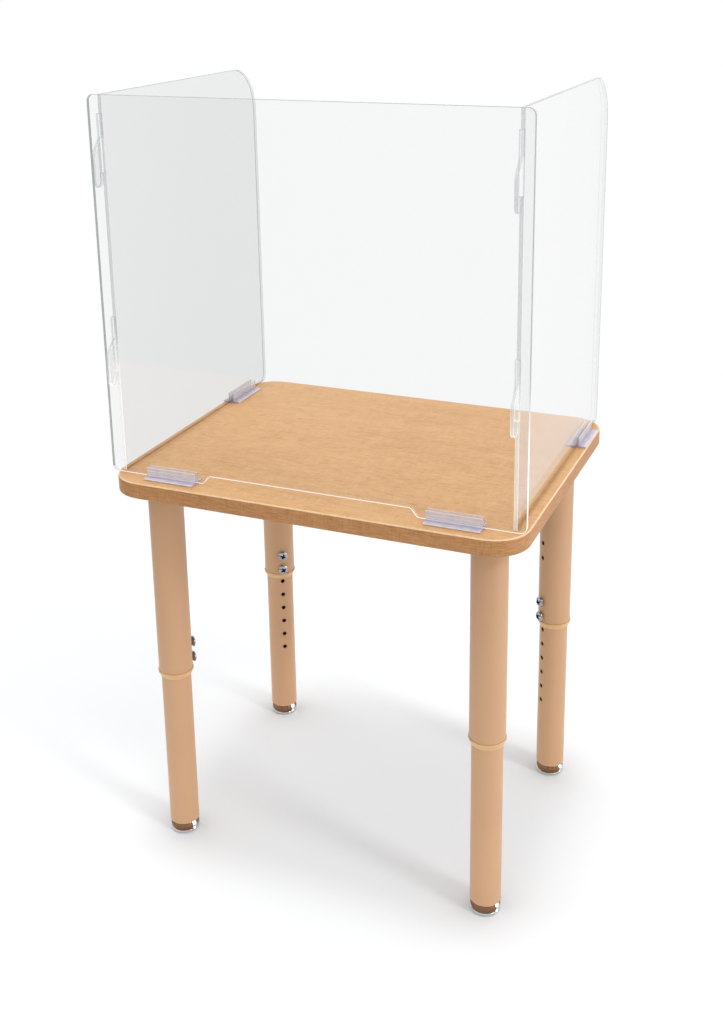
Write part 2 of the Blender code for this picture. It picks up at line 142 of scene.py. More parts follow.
def wood(name, light, mid, dark, grain, roughness, sheet_gloss):
    """Maple print: fibres along the first grain coordinate, broad tone bands and a faint cross figure.

    grain(tree) gives a vector in metres whose x runs along the fibres and whose y runs across them.
    """
    mat, t = new_material(name)
    raw = grain(t)
    sway = t.noise(t.stretched(raw, (5, 14, 1)), detail=2.0)
    shift = t.add("ShaderNodeCombineXYZ", {"Y": t.maths("MULTIPLY", t.maths("SUBTRACT", sway, 0.5), 0.016)})
    along = t.add("ShaderNodeVectorMath", {0: raw, 1: shift.outputs[0]}, operation="ADD").outputs[0]
    fibre = t.noise(t.stretched(along, (70, 900, 1)), detail=4.0, roughness=0.6, distortion=0.3)
    streak = t.noise(t.stretched(along, (48, 520, 1)), detail=4.0, roughness=0.7, distortion=0.4)
    band = t.noise(t.stretched(along, (3.2, 30, 1)), detail=3.0, roughness=0.5)
    slant = t.add("ShaderNodeMapping", {"Vector": raw, "Rotation": (0, 0, 0.5), "Scale": (320, 54, 1)})
    figure = t.noise(slant.outputs[0], detail=3.0, roughness=0.6, distortion=0.8)
    patch = t.noise(t.stretched(raw, (9, 12, 1)), detail=2.0)
    tone = t.maths("MULTIPLY", fibre, 0.24)
    for source, share in ((streak, 0.42), (band, 0.10), (figure, 0.18), (patch, 0.06)):
        tone = t.maths("ADD", tone, t.maths("MULTIPLY", source, share))
    tone = t.span(tone, 0.39, 0.61)
    ramp = t.add("ShaderNodeValToRGB", {"Fac": tone})
    stops = ramp.color_ramp.elements
    stops[0].color, stops[1].color = dark, light
    stops.new(0.5).color = mid
    pore = t.noise(t.stretched(along, (90, 1500, 1)), detail=2.0)
    fleck = t.span(pore, 0.66, 0.74, 0.0, 0.35, smooth=True)
    colour = t.blend(fleck, ramp.outputs[0], dark)
    rough = t.span(fibre, 0.3, 0.7, roughness + 0.05, roughness - 0.05)
    relief = t.maths("ADD", t.maths("MULTIPLY", fibre, 0.7), t.maths("MULTIPLY", pore, 0.3))
    inputs = {"Base Color": colour, "Roughness": rough, "Normal": t.bump(relief, 0.18, 0.12 * MM)}
    inputs |= {"Specular IOR Level": sheet_gloss}
    t.output(t.add("ShaderNodeBsdfPrincipled", inputs))
    return mat


def flat_grain(t):
    """Fibres along the table's length."""
    return t.place()


def wrapped_grain(t):
    """Fibres along the edge band, round its corners."""
    along = t.add("ShaderNodeAttribute", attribute_name="along").outputs["Fac"]
    height = t.add("ShaderNodeSeparateXYZ", {0: flat_grain(t)}).outputs["Z"]
    return t.add("ShaderNodeCombineXYZ", {"X": along, "Y": height}).outputs[0]


def powder_coat():
    """Tan baked powder: low orange peel, fine speckle and slightly uneven gloss."""
    mat, t = new_material("tan_powder_coat")
    place = t.place()
    peel = t.noise(place, 620, 3.0, 0.55)
    swell = t.noise(place, 130, 2.0)
    cloud = t.noise(place, 9, 2.0)
    speckle = t.noise(place, 2400, 1.0)
    tone = t.maths("ADD", t.maths("MULTIPLY", cloud, 0.5), t.maths("MULTIPLY", speckle, 0.5))
    colour = t.blend(t.span(tone, 0.3, 0.7), srgb(200, 157, 119), srgb(208, 164, 126))
    rough = t.span(peel, 0.3, 0.7, 0.36, 0.46)
    relief = t.maths("ADD", t.maths("MULTIPLY", peel, 0.4), t.maths("MULTIPLY", swell, 0.6))
    inputs = {"Base Color": colour, "Roughness": rough, "Normal": t.bump(relief, 0.25, 0.2 * MM)}
    inputs |= {"Specular IOR Level": 0.35}
    t.output(t.add("ShaderNodeBsdfPrincipled", inputs))
    return mat


def moulded_plastic(name, low, high, roughness, scatter=0.0):
    """Injection-moulded plastic with a fine satin texture and faint flow clouding."""
    mat, t = new_material(name)
    place = t.place()
    cloud = t.noise(place, 60, 3.0)
    texture = t.noise(place, 2200, 2.0)
    colour = t.blend(t.span(cloud, 0.3, 0.7), low, high)
    rough = t.span(texture, 0.3, 0.7, roughness - 0.06, roughness + 0.06)
    inputs = {"Base Color": colour, "Roughness": rough, "Normal": t.bump(texture, 0.2, 0.04 * MM)}
    inputs |= {"Subsurface Weight": scatter, "Subsurface Scale": 0.002}
    t.output(t.add("ShaderNodeBsdfPrincipled", inputs))
    return mat


# The side whose window a plated dome shows as a painted highlight.
PAINTED_HIGHLIGHT_SIDE = (-0.97, 0.242, 0)


def plated(name, colour, roughness, brushed, patch=None):
    """Bright plating on turned steel: fine rings of turning marks and a little haze.

    A patch colour paints a pale upright highlight onto a dome where its world normal faces the -X window: a
    painted reflection of that window.
    """
    mat, t = new_material(name)
    place = t.place()
    rings = t.noise(t.stretched(place, (40, 40, brushed)), 1.0, 2.0)
    haze = t.noise(place, 180, 4.0, 0.6)
    rough = t.span(haze, 0.3, 0.75, roughness * 0.7, roughness * 1.6)
    relief = t.maths("ADD", t.maths("MULTIPLY", rings, 0.5), t.maths("MULTIPLY", haze, 0.5))
    tint = t.blend(t.span(haze, 0.35, 0.7), colour, tuple(c * 0.86 for c in colour[:3]) + (1.0,))
    # Painted highlight: the patch colour is blended in by the world normal, in place of a window's reflection.
    if patch:
        facing = t.add("ShaderNodeNewGeometry").outputs["Normal"]
        level = t.add("ShaderNodeVectorMath", {0: facing, 1: (1, 1, 0)}, operation="MULTIPLY").outputs[0]
        level = t.add("ShaderNodeVectorMath", {0: level}, operation="NORMALIZE").outputs[0]
        aim = t.add("ShaderNodeVectorMath", {0: level, 1: PAINTED_HIGHLIGHT_SIDE}, operation="DOT_PRODUCT")
        tint = t.blend(t.span(aim.outputs["Value"], 0.97, 0.99, 0, 1, True), tint, patch)
    inputs = {"Base Color": tint, "Metallic": 1.0, "Roughness": rough}
    inputs |= {"Normal": t.bump(relief, 0.12, 0.06 * MM)}
    t.output(t.add("ShaderNodeBsdfPrincipled", inputs))
    return mat


def board(name, low, high):
    """Pressed wood chips, for the core and the backer's paper."""
    mat, t = new_material(name)
    place = t.place()
    chips = t.add("ShaderNodeTexVoronoi", {"Vector": t.stretched(place, (260, 420, 420)), "Scale": 1.0})
    fuzz = t.noise(place, 900, 3.0)
    colour = t.blend(t.add("ShaderNodeSeparateColor", {0: chips.outputs["Color"]}).outputs[0], low, high)
    normal = t.bump(t.maths("ADD", chips.outputs["Distance"], fuzz), 0.3, 0.2 * MM)
    inputs = {"Base Color": colour, "Roughness": t.span(fuzz, 0.3, 0.7, 0.7, 0.9), "Normal": normal}
    t.output(t.add("ShaderNodeBsdfPrincipled", inputs))
    return mat


ACRYLIC_IOR = 1.49
# Where an acrylic edge gets its painted glow.
LIT_X = (0.294, 0.299)
LIT_Y = (0.10, 0.17)
LIT_Z = (0.71, 0.83)


def surface_mirror(t):
    """The mirror share of a clear surface, met from outside or from inside the plastic."""
    back = t.add("ShaderNodeNewGeometry").outputs["Backfacing"]
    ior = t.span(back, 0, 1, ACRYLIC_IOR, 1 / ACRYLIC_IOR)
    return t.add("ShaderNodeFresnel", {"IOR": ior}).outputs[0]


def clear_face():
    """A polished face of the acrylic: straight through, a plain mirror and the faintest handling haze."""
    mat, t = new_material("acrylic_face")
    place = t.place()
    smear = t.noise(t.stretched(place, (14, 14, 9)), 1.0, 4.0, 0.6)
    through = t.add("ShaderNodeBsdfTransparent", {"Color": (0.996, 0.998, 0.998, 1)})
    mirror = surface_mirror(t)
    shine = t.blend(t.span(mirror, 0.08, 0.2, 0, 1, True), (0.4, 0.4, 0.4, 1), (1, 1, 1, 1))
    gloss = t.add("ShaderNodeBsdfGlossy", {"Roughness": t.span(smear, 0.45, 0.7, 0.02, 0.07), "Color": shine})
    haze = t.add("ShaderNodeBsdfDiffuse", {"Color": (0.9, 0.92, 0.92, 1)})
    clear = t.mix(mirror, through, gloss)
    t.output(t.mix(t.span(smear, 0.5, 0.8, 0.002, 0.008), clear, haze))
    return mat


def cut_edge(name, body_colour, opacity, border=None):
    """A machined edge of the acrylic, with a painted glow that stands in for the light the sheet pipes to it.

    The glow is painted whiter colour and emission where it stands over the wood near the rear: short of LIT_X,
    past LIT_Y and below LIT_Z. Each is a fade in metres. A border (start, end, clear opacity) leaves the edge
    clear up to that share of the sheet's thickness.
    """
    mat, t = new_material(name)
    place = t.place()
    marks = t.noise(t.stretched(place, (700, 700, 700)), 1.0, 3.0)
    drift = t.noise(place, 16, 2.0)
    through = t.add("ShaderNodeBsdfTransparent", {"Color": (0.93, 0.95, 0.96, 1)})
    gloss_inputs = {"Roughness": t.span(marks, 0.3, 0.7, 0.10, 0.22), "Normal": t.bump(marks, 0.3, 0.05 * MM)}
    gloss = t.add("ShaderNodeBsdfGlossy", gloss_inputs | {"Color": (1, 1, 1, 1)})
    pale = t.blend(t.span(drift, 0.35, 0.65), body_colour, tuple(c * 0.94 for c in body_colour[:3]) + (1.0,))
    spot = t.add("ShaderNodeSeparateXYZ", {0: place})
    # Painted glow: a whiter colour over the wood near the rear.
    inboard = t.span(spot.outputs["X"], *LIT_X, 1, 0)
    over_wood = t.maths("MULTIPLY", inboard, t.span(spot.outputs["Y"], *LIT_Y))
    painted_glow_share = t.maths("MULTIPLY", over_wood, t.span(spot.outputs["Z"], *LIT_Z, 1, 0, True))
    pale = t.blend(painted_glow_share, pale, (0.98, 0.97, 0.95, 1))
    glow = t.add("ShaderNodeBsdfDiffuse", {"Color": pale})
    lit = t.add("ShaderNodeBsdfTranslucent", {"Color": pale})
    body = t.mix(0.5, glow, lit)
    # Painted glow: emission, though the edge is no lamp.
    painted_glow = t.add("ShaderNodeEmission", {"Color": pale, "Strength": t.maths("MULTIPLY", painted_glow_share, 0.5)})
    body = t.add("ShaderNodeAddShader", {0: body.outputs[0], 1: painted_glow.outputs[0]})
    if border:
        depth = t.add("ShaderNodeAttribute", attribute_name="depth").outputs["Fac"]
        opacity = t.span(depth, *border, opacity)
    t.output(t.mix(surface_mirror(t), t.mix(opacity, through, body), gloss))
    return mat


def panel_foot():
    """The underside of a sheet on the wood: clear, tinted brown as a painted shadow of the thin gap."""
    mat, t = new_material("acrylic_foot_painted_shadow")
    place = t.place()
    gap = t.noise(t.stretched(place, (90, 90, 90)), 1.0, 3.0)
    # Painted shadow: a brown tint for the dark of the gap under the sheet.
    shade = t.blend(t.span(gap, 0.3, 0.7), (0.60, 0.51, 0.42, 1), (0.75, 0.66, 0.57, 1))
    t.output(t.add("ShaderNodeBsdfTransparent", {"Color": shade}))
    return mat


def hazy_clear(name, tint, body_colour, opacity, roughness, root_colour=None):
    """Soft clear vinyl: tinted, a little milky, with drawn lines along the extrusion.

    A root colour takes over beside the gripped sheet, where the mesh's reach is small.
    """
    mat, t = new_material(name)
    place = t.place()
    lines = t.noise(t.stretched(place, (4, 900, 900)), 1.0, 2.0)
    cloud = t.noise(place, 70, 3.0)
    through = t.add("ShaderNodeBsdfTransparent", {"Color": tint})
    gloss_inputs = {"Roughness": t.span(cloud, 0.3, 0.7, roughness, roughness * 2), "Color": (1, 1, 1, 1)}
    gloss = t.add("ShaderNodeBsdfGlossy", gloss_inputs | {"Normal": t.bump(lines, 0.2, 0.05 * MM)})
    if root_colour:
        reach = t.add("ShaderNodeAttribute", attribute_name="reach").outputs["Fac"]
        body_colour = t.blend(t.span(reach, 0.35, 0.8), root_colour, body_colour)
    glow = t.add("ShaderNodeBsdfDiffuse", {"Color": body_colour})
    lit = t.add("ShaderNodeBsdfTranslucent", {"Color": body_colour})
    share = t.span(cloud, 0.3, 0.7, opacity * 0.9, opacity * 1.1)
    milky = t.mix(share, through, t.mix(0.5, glow, lit))
    t.output(t.mix(surface_mirror(t), milky, gloss))
    return mat


LAMINATE = wood(
    "maple_laminate", srgb(222, 175, 121), srgb(210, 161, 107), srgb(190, 138, 86), flat_grain, 0.42, 0.35
)
# Lighter copy of the edge band's wood for its top face: painted light on the face turned up.
BAND_TOP_PAINTED_LIGHT = wood(
    "maple_band_top_painted_light", srgb(226, 184, 135), srgb(216, 170, 120), srgb(200, 150, 100), wrapped_grain, 0.42, 0.35
)
# Palest copy for the band's upturned rounded edge: a painted highlight.
ARRIS_PAINTED_HIGHLIGHT = wood(
    "maple_arris_painted_highlight", srgb(240, 208, 170), srgb(232, 196, 156), srgb(218, 178, 136), wrapped_grain, 0.38, 0.45
)
BAND = wood(
    "maple_edge_band", srgb(207, 152, 99), srgb(189, 135, 85), srgb(158, 107, 64), wrapped_grain, 0.46, 0.4
)
POWDER = powder_coat()
COLLAR = moulded_plastic("collar_plastic", srgb(217, 173, 121), srgb(224, 181, 131), 0.36, 0.1)
INSERT = moulded_plastic("insert_plastic", srgb(30, 30, 31), srgb(38, 38, 40), 0.5)
PLATED = plated("plated_screw", (0.44, 0.45, 0.48, 1), 0.12, 40)
# Near-black plating for a screw's cross recess: painted shade in the hollow.
SHADED_RECESS = plated("screw_recess_painted_shade", (0.07, 0.08, 0.10, 1), 0.25, 40)
NICKEL = plated("nickel_rim", (0.66, 0.65, 0.66, 1), 0.12, 2600)
# The dome's brown base colour is a painted reflection of the tan table and legs in its plating; its pale patch is
# a painted highlight.
DOME = plated("dome_painted_reflection", (0.25, 0.135, 0.07, 1), 0.10, 2600, (0.92, 0.92, 0.93, 1))
CORE = board("core_board", srgb(150, 118, 84), srgb(196, 163, 124))
BACKER = board("backer_sheet", srgb(112, 96, 82), srgb(124, 108, 92))
FACE = clear_face()
EDGE = cut_edge("acrylic_edge", (0.44, 0.47, 0.48, 1), 0.88)
SLOT = cut_edge("acrylic_slot", (0.56, 0.59, 0.60, 1), 0.36)
ARRIS = cut_edge("acrylic_arris", (0.84, 0.86, 0.87, 1), 0.9)
LIP = cut_edge("acrylic_lip", (0.9, 0.9, 0.88, 1), 0.95, (0.52, 0.62, 0.08))
RIM = cut_edge("acrylic_rim", (0.46, 0.49, 0.50, 1), 0.95, (0.80, 0.92, 0.12))
FOOT = panel_foot()
VINYL_WALL = hazy_clear("clip_wall", (0.985, 0.975, 0.985, 1), (0.95, 0.91, 0.94, 1), 0.36, 0.07)
VINYL_EDGE = hazy_clear("clip_edge", (0.97, 0.96, 0.99, 1), (0.98, 0.97, 0.99, 1), 0.7, 0.1)
VINYL_END = hazy_clear("clip_end", (0.94, 0.91, 0.97, 1), (0.46, 0.39, 0.58, 1), 0.7, 0.1)
VINYL_BASE = hazy_clear(
    "clip_base", (0.97, 0.96, 0.99, 1), (0.95, 0.95, 0.98, 1), 0.6, 0.08, (0.62, 0.55, 0.74, 1)
)
TAPE = hazy_clear("adhesive_tape", (0.97, 0.96, 0.98, 1), (0.88, 0.86, 0.94, 1), 0.35, 0.25)


# --- Meshes -----------------------------------------------------------------------------------------------------


def add_piece(name, mesh, body, stands_for, materials=(), place=None):
    """One visible piece, which rides on a body and stands for CAD nodes."""
    piece = bpy.data.objects.new(name, mesh)
    bpy.context.scene.collection.objects.link(piece)
    if place:
        piece.matrix_world = place
    for mat in materials:
        mesh.materials.append(mat)
    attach(piece, body)
    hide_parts(*stands_for)
    return piece


def paint(node, mat):
    """Gives a CAD node its finish."""
    mesh = nodes[node].data
    mesh.materials.clear()
    mesh.materials.append(mat)


def smooth(mesh, angle):
    mesh.shade_smooth()
    mesh.set_sharp_from_angle(angle=math.radians(angle))


def arc(centre, radius, start, end, steps):
    turn = (end - start) / steps
    points = []
    for i in range(steps + 1):
        angle = start + turn * i
        points.append((centre[0] + radius * math.cos(angle), centre[1] + radius * math.sin(angle)))
    return points


def filleted(corners, steps=5):
    """A closed outline from (x, y, radius) corners, with an arc at each corner that has a radius."""
    outline = []
    count = len(corners)
    for i, (x, y, radius) in enumerate(corners):
        if radius == 0:
            outline.append((x, y))
            continue
        here = Vector((x, y))
        back = (Vector(corners[i - 1][:2]) - here).normalized()
        ahead = (Vector(corners[(i + 1) % count][:2]) - here).normalized()
        half = math.acos(max(-1.0, min(1.0, back.dot(ahead)))) / 2
        centre = here + (back + ahead).normalized() * radius / math.sin(half)
        first = here + back * radius / math.tan(half) - centre
        last = here + ahead * radius / math.tan(half) - centre
        start = math.atan2(first.y, first.x)
        sweep = (math.atan2(last.y, last.x) - start + math.pi) % TAU - math.pi
        outline += arc(centre, radius, start, start + sweep, steps)
    return outline


def circle(radius, height, sides):
    turns = [TAU * k / sides for k in range(sides)]
    return [(radius * math.cos(turn), radius * math.sin(turn), height) for turn in turns]


def revolve(name, profile, sides):
    """Turns a closed (radius, height) profile about Z. A profile point on the axis becomes one vertex."""
    verts, rings, faces = [], [], []
    for radius, height in profile:
        if radius < 1e-9:
            rings.append([len(verts)] * sides)
            verts.append((0, 0, height))
            continue
        rings.append(list(range(len(verts), len(verts) + sides)))
        verts += circle(radius, height, sides)
    for ring, following in zip(rings, rings[1:] + rings[:1]):
        for k in range(sides):
            corner = [ring[k], ring[(k + 1) % sides], following[(k + 1) % sides], following[k]]
            corner = [v for i, v in enumerate(corner) if v not in corner[:i]]
            if len(corner) > 2:
                faces.append(corner)
    return mesh_from(name, verts, faces)


def quads(this, following, count):
    """The faces between two rings of vertices, each given by its first vertex."""
    pairs = [(k, (k + 1) % count) for k in range(count)]
    return [(this + a, this + b, following + b, following + a) for a, b in pairs]


def mesh_from(name, verts, faces):
    mesh = bpy.data.meshes.new(name)
    mesh.from_pydata(verts, [], faces)
    shape = bmesh.new()
    shape.from_mesh(mesh)
    bmesh.ops.recalc_face_normals(shape, faces=shape.faces)
    shape.to_mesh(mesh)
    shape.free()
    return mesh


def joined(name, meshes):
    shape = bmesh.new()
    for mesh in meshes:
        shape.from_mesh(mesh)
    whole = bpy.data.meshes.new(name)
    shape.to_mesh(whole)
    shape.free()
    return whole


def carved(mesh, cutter_mesh):
    """The mesh with the cutter's shape taken away."""
    target = bpy.data.objects.new("target", mesh)
    cutter = bpy.data.objects.new("cutter", cutter_mesh)
    for obj in (target, cutter):
        bpy.context.scene.collection.objects.link(obj)
    modifier = target.modifiers.new("cut", "BOOLEAN")
    modifier.operation = "DIFFERENCE"
    modifier.solver = "EXACT"
    modifier.object = cutter
    view = bpy.context.evaluated_depsgraph_get()
    result = bpy.data.meshes.new_from_object(target.evaluated_get(view))
    result.name = mesh.name
    for obj in (target, cutter):
        bpy.data.objects.remove(obj)
    return result


def softened(node, width, segments=2, sharp=25):
    """A copy of a CAD node's mesh with its sharp edges rounded over."""
    shape = bmesh.new()
    shape.from_mesh(nodes[node].data)
    bmesh.ops.remove_doubles(shape, verts=shape.verts, dist=1e-6)
    bmesh.ops.dissolve_limit(shape, angle_limit=math.radians(0.4), verts=shape.verts, edges=shape.edges)
    bmesh.ops.recalc_face_normals(shape, faces=shape.faces)
    edges = [e for e in shape.edges if e.is_manifold and e.calc_face_angle() > math.radians(sharp)]
    bmesh.ops.bevel(
        shape, geom=edges, offset=width, segments=segments, profile=0.5, affect="EDGES", clamp_overlap=True
    )
    mesh = bpy.data.meshes.new(f"{node}_soft")
    shape.to_mesh(mesh)
    shape.free()
    smooth(mesh, 50)
    return mesh


def even_out(piece):
    """Keeps flat faces flat beside their rounded edges."""
    modifier = piece.modifiers.new("normals", "WEIGHTED_NORMAL")
    modifier.keep_sharp = True
    modifier.weight = 100


def body_of(node):
    for body, members in frame["record"]["behaviour"]["bodies"].items():
        if node in members:
            return body
    raise KeyError(node)


# --- Table top --------------------------------------------------------------------------------------------------

CORNER_STEPS = 14
CORNER_R = 50.8 * MM
BAND_ARRIS_R = 2.4 * MM
BAND_GAP = 0.3 * MM
BAND_INNER_CHAMFER = 0.12 * MM
LAMINATE_INSET = 3.3 * MM
SURFACE_GROWTH = 0.28 * MM
SEAM = 0.1 * MM


def rounded_loop(half_x, half_y, radius, steps):
    """A rounded rectangle from the middle of its -Y side round to the same place, but for a small seam."""
    loop = [(SEAM, -half_y)]
    for quarter, (sx, sy) in enumerate(((1, -1), (1, 1), (-1, 1), (-1, -1))):
        start = (quarter - 1) * math.pi / 2
        centre = (sx * (half_x - radius), sy * (half_y - radius))
        loop += arc(centre, radius, start, start + math.pi / 2, steps)
    loop.append((-SEAM, -half_y))
    return loop


def make_band():
    """The edge band, as a ring with rounded outer edges. Its profile is in (inset, height)."""
    low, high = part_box("edge_band")
    half_x, half_y = high.x, high.y
    inner = high.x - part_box("top_laminate")[1].x - BAND_GAP
    r, small = BAND_ARRIS_R, BAND_INNER_CHAMFER
    profile = arc((r, high.z - r), r, math.pi, math.pi / 2, 8)
    profile += [(inner - small, high.z), (inner, high.z - small), (inner, low.z + small)]
    profile += [(inner - small, low.z)]
    profile += arc((r, low.z + r), r, -math.pi / 2, -math.pi, 8)
    outer = rounded_loop(half_x, half_y, CORNER_R, CORNER_STEPS)
    along = [0.0]
    for a, b in zip(outer, outer[1:]):
        along.append(along[-1] + math.dist(a, b))
    verts, lengths = [], []
    for inset, height in profile:
        loop = rounded_loop(half_x - inset, half_y - inset, CORNER_R - inset, CORNER_STEPS)
        verts += [(x, y, height) for x, y in loop]
        lengths += along
    count = len(outer)
    faces = []
    for p in range(len(profile)):
        faces += quads(p * count, (p + 1) % len(profile) * count, count)
    mesh = mesh_from("edge_band_fine", verts, faces)
    attribute = mesh.attributes.new("along", "FLOAT", "POINT")
    attribute.data.foreach_set("value", lengths)
    smooth(mesh, 35)
    # Copies of one wood by facing: the top painted lighter, the upturned arris painted as a highlight, the sides
    # darker.
    looks = [BAND, BAND_TOP_PAINTED_LIGHT, ARRIS_PAINTED_HIGHLIGHT]
    for polygon in mesh.polygons:
        rise = polygon.normal.z
        polygon.material_index = looks.index(BAND_TOP_PAINTED_LIGHT if rise > 0.985 else ARRIS_PAINTED_HIGHLIGHT if rise > 0.3 else BAND)
    add_piece("edge_band_fine", mesh, body_of("edge_band"), ["edge_band"], looks)


def make_surface():
    """The laminate sheet, grown to meet the band all round."""
    low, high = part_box("top_laminate")
    soft = 0.15 * MM
    radius = CORNER_R - LAMINATE_INSET + SURFACE_GROWTH
    half_x, half_y = high.x + SURFACE_GROWTH, high.y + SURFACE_GROWTH
    rings = []
    edge = ((0, low.z), (0, high.z - soft), (soft * 0.3, high.z - soft * 0.3), (soft, high.z))
    for inset, height in edge:
        loop = rounded_loop(half_x - inset, half_y - inset, radius - inset, CORNER_STEPS)
        rings.append([(x, y, height) for x, y in loop])
    count = len(rings[0])
    verts = [v for ring in rings for v in ring]
    faces = [tuple(range(count)), tuple(range((len(rings) - 1) * count, len(rings) * count))]
    for p in range(len(rings) - 1):
        faces += quads(p * count, (p + 1) * count, count)
    mesh = mesh_from("work_surface", verts, faces)
    smooth(mesh, 25)
    piece = add_piece("work_surface", mesh, body_of("top_laminate"), ["top_laminate"], [LAMINATE])
    even_out(piece)


make_band()
make_surface()
paint("top_core", CORE)
paint("top_backer", BACKER)


# --- Legs -------------------------------------------------------------------------------------------------------

HOLE_AZIMUTH = math.radians(51)
HOLE_PITCH = 25.4 * MM
TOP_HOLE_Z = 315.5 * MM
SPARE_HOLE_Z = TOP_HOLE_Z + 3 * HOLE_PITCH
HOLE_R = 3.5 * MM
HOLE_FLARE = 0.35 * MM
TUBE_SIDES = 112
UPPER_R = 25.4 * MM
UPPER_WALL = 1.9 * MM
LOWER_R = 22.225 * MM
LOWER_WALL = 1.65 * MM
WELD = 3.0 * MM
DOME_LOW = 5.2 * MM
DOME_HIGH = 17.6 * MM
STEM_R = 4.0 * MM
STEM_ROOT_R = 3.45 * MM
STEM_PITCH = 1.25 * MM
CLAMP_HEAD_R, CLAMP_HEAD_H = 8.25 * MM, 7.4 * MM
CLAMP_SHANK_R, CLAMP_SHANK_L = 3.15 * MM, 2.8 * MM
PLATE_HEAD_R, PLATE_HEAD_H = 4.4 * MM, 2.6 * MM
PLATE_SHANK_R, PLATE_SHANK_L, PLATE_THREAD = 2.1 * MM, 16.0 * MM, 1.4 * MM
SCREW_GAP = 0.3 * MM
CLAMP_TURNS = {1: 0.5, 2: -0.35}


def hole_cutter(radius, z):
    """A hole's cutter on the tube's +X side, opening a little at the mouth."""
    deep, past = radius - 8 * MM, radius + 3 * MM
    mouth = HOLE_R + HOLE_FLARE
    profile = [(0, deep), (HOLE_R, deep), (HOLE_R, radius - 0.55 * MM)]
    profile += [(mouth, radius), (mouth, past), (0, past)]
    mesh = revolve("hole", profile, 28)
    mesh.transform(Matrix.Translation((0, 0, z)) @ Matrix.Rotation(math.pi / 2, 4, "Y"))
    return mesh


def round_normals(mesh, axis_radii):
    """Exact normals on the turned walls of a tube, so that the cut holes leave no shading marks."""
    normals = []
    for polygon in mesh.polygons:
        for index in polygon.loop_indices:
            normals.append(mesh.corner_normals[index].vector.copy())
    for polygon in mesh.polygons:
        out = Vector((polygon.center.x, polygon.center.y, 0)).normalized()
        facing = polygon.normal.dot(out)
        for index in polygon.loop_indices:
            spot = mesh.vertices[mesh.loops[index].vertex_index].co
            reach = math.hypot(spot.x, spot.y)
            if abs(facing) > 0.97 and any(abs(reach - r) < 0.06 * MM for r in axis_radii):
                normals[index] = Vector((spot.x, spot.y, 0)).normalized() * math.copysign(1, facing)
    mesh.normals_split_custom_set(normals)


def tube_mesh(name, radius, inner, low, high, holes, weld=0.0):
    """A leg tube on the Z axis with holes at the given heights, and a weld bead round its top if it has one."""
    lip = 0.35 * MM
    profile = filleted([(inner, low, lip * 0.6), (radius, low, lip), (radius, high - weld, 0)], 3)
    if weld:
        profile += arc((radius + weld * 0.15, high - weld * 0.55), weld * 0.55, -math.pi / 2, 0, 4)
    profile += [(radius + weld * 0.9, high), (inner, high)]
    mesh = revolve(name, profile, TUBE_SIDES)
    mesh = carved(mesh, joined("holes", [hole_cutter(radius, z) for z in holes]))
    smooth(mesh, 32)
    round_normals(mesh, (radius, inner))
    return mesh


def collar_mesh():
    """The bushing: a flared flange under the upper tube, and a sleeve inside it."""
    bore, sleeve = LOWER_R + 0.3 * MM, UPPER_R - 2.2 * MM
    low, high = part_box("collar_rear_left")[0].z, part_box("collar_rear_left")[1].z
    outer = 26.6 * MM
    seat = high - 4.8 * MM
    flange = seat - 3.5 * MM
    corners = [
        (bore, low, 0.3 * MM),
        (bore + 0.9 * MM, low, 0.4 * MM),
        (outer - 0.9 * MM, flange, 0.8 * MM),
        (outer, flange + 0.5 * MM, 0.5 * MM),
        (outer, seat, 1.1 * MM),
        (sleeve, seat, 0.15 * MM),
        (sleeve, high, 0.3 * MM),
        (bore, high, 0.2 * MM),
    ]
    mesh = revolve("collar", filleted(corners, 6), TUBE_SIDES)
    smooth(mesh, 50)
    return mesh


def glide_mesh():
    """A bright domed glide with a rolled rim over its base, and the threaded stem."""
    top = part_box("glide_rear_left")[1].z
    corners = [
        (0, 0, 0),
        (19.4 * MM, 0, 0.8 * MM),
        (19.7 * MM, 1.5 * MM, 0.3 * MM),
        (21.9 * MM, 1.8 * MM, 0.7 * MM),
        (21.9 * MM, 4.9 * MM, 1.0 * MM),
        (20.6 * MM, 5.2 * MM, 0.3 * MM),
        (21.9 * MM, 10.6 * MM, 5.2 * MM),
        (18.6 * MM, 16.9 * MM, 4.0 * MM),
        (11.0 * MM, 17.5 * MM, 0.5 * MM),
        (STEM_R, 17.5 * MM, 0),
    ]
    profile = filleted(corners, 6)
    z = 17.9 * MM
    while z + STEM_PITCH < top - 0.6 * MM:
        profile += [(STEM_R, z + 0.25 * STEM_PITCH), (STEM_ROOT_R, z + 0.75 * STEM_PITCH)]
        z += STEM_PITCH
    profile += [(3.6 * MM, top - 0.5 * MM), (3.1 * MM, top), (0, top)]
    mesh = revolve("glide", profile, 96)
    smooth(mesh, 38)
    return mesh


def cross_cutter(head_r, head_h):
    """A tapered cross with rounded arms, for a driver recess."""
    long, wide = head_r * 0.64, head_r * 0.19
    corners = []
    for quarter in range(4):
        turn = Matrix.Rotation(quarter * math.pi / 2, 2)
        for x, y, radius in ((long, -wide, wide * 0.7), (long, wide, wide * 0.7), (wide, wide, wide * 0.5)):
            spot = turn @ Vector((x, y))
            corners.append((spot.x, spot.y, radius))
    outline = filleted(corners, 3)
    rings = ((0.30, head_h * 0.28), (0.62, head_h * 0.5), (1.0, head_h + 0.2 * MM), (1.08, head_h + 1 * MM))
    verts = [(x * share, y * share, z) for share, z in rings for x, y in outline]
    count = len(outline)
    last = len(rings) - 1
    faces = [tuple(range(count)), tuple(range(last * count, (last + 1) * count))]
    for p in range(last):
        faces += quads(p * count, (p + 1) * count, count)
    return mesh_from("cross", verts, faces)


